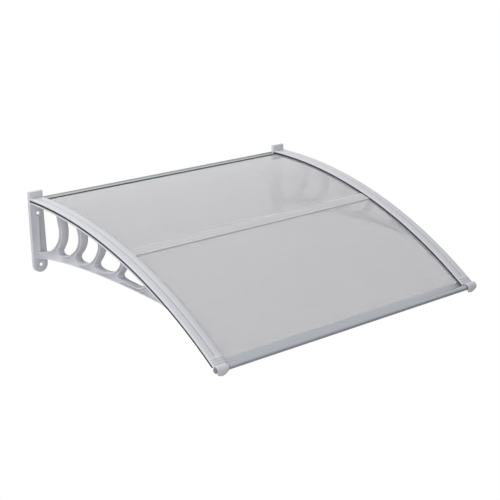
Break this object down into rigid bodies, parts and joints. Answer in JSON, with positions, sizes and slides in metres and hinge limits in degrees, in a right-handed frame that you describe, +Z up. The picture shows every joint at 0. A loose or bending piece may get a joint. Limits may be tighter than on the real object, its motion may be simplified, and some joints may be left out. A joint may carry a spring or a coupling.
{
  "type": "door canopy",
  "caption": "Door canopy with arched-rib wall brackets, a bent translucent twin-wall sheet, cover strips, a clear joint strip and slim metal rails.",
  "frame": {"origin": "on the wall plane, at the middle of the canopy's width, level with the middle of the sheet where it meets the wall; it lies on the wall face of the back rail", "axes": "+X along the wall, +Z up, -Y away from the wall towards the visitor"},
  "size_m": [1, 0.8562, 0.3171],
  "materials": {
    "bracket_plastic": "fine satin, light grey",
    "cover_plastic": "smooth satin, pale silver grey",
    "seal_rubber": "matt black",
    "twin_wall_sheet": "translucent, frosted grey-white",
    "joint_clear": "clear",
    "silver_rail": "satin silver",
    "blue_grey_rail": "satin blue-grey",
    "plug_plastic": "matt grey",
    "screw_steel": "bright zinc"
  },
  "bodies": {
    "root": {"left_bracket": "bracket_plastic", "left_cover_strip": "cover_plastic", "left_gasket": "seal_rubber", "left_rail_plug": "plug_plastic", "left_clamp_screw_1": "screw_steel", "left_clamp_screw_2": "screw_steel", "left_clamp_screw_3": "screw_steel", "left_clamp_screw_4": "screw_steel", "right_bracket": "bracket_plastic", "right_cover_strip": "cover_plastic", "right_gasket": "seal_rubber", "right_rail_plug": "plug_plastic", "right_clamp_screw_1": "screw_steel", "right_clamp_screw_2": "screw_steel", "right_clamp_screw_3": "screw_steel", "right_clamp_screw_4": "screw_steel", "rear_panel": "twin_wall_sheet", "front_panel": "twin_wall_sheet", "joint_strip": "joint_clear", "back_rail": "silver_rail", "back_rail_seal": "seal_rubber", "front_rail": "blue_grey_rail"}
  },
  "joints": []
}
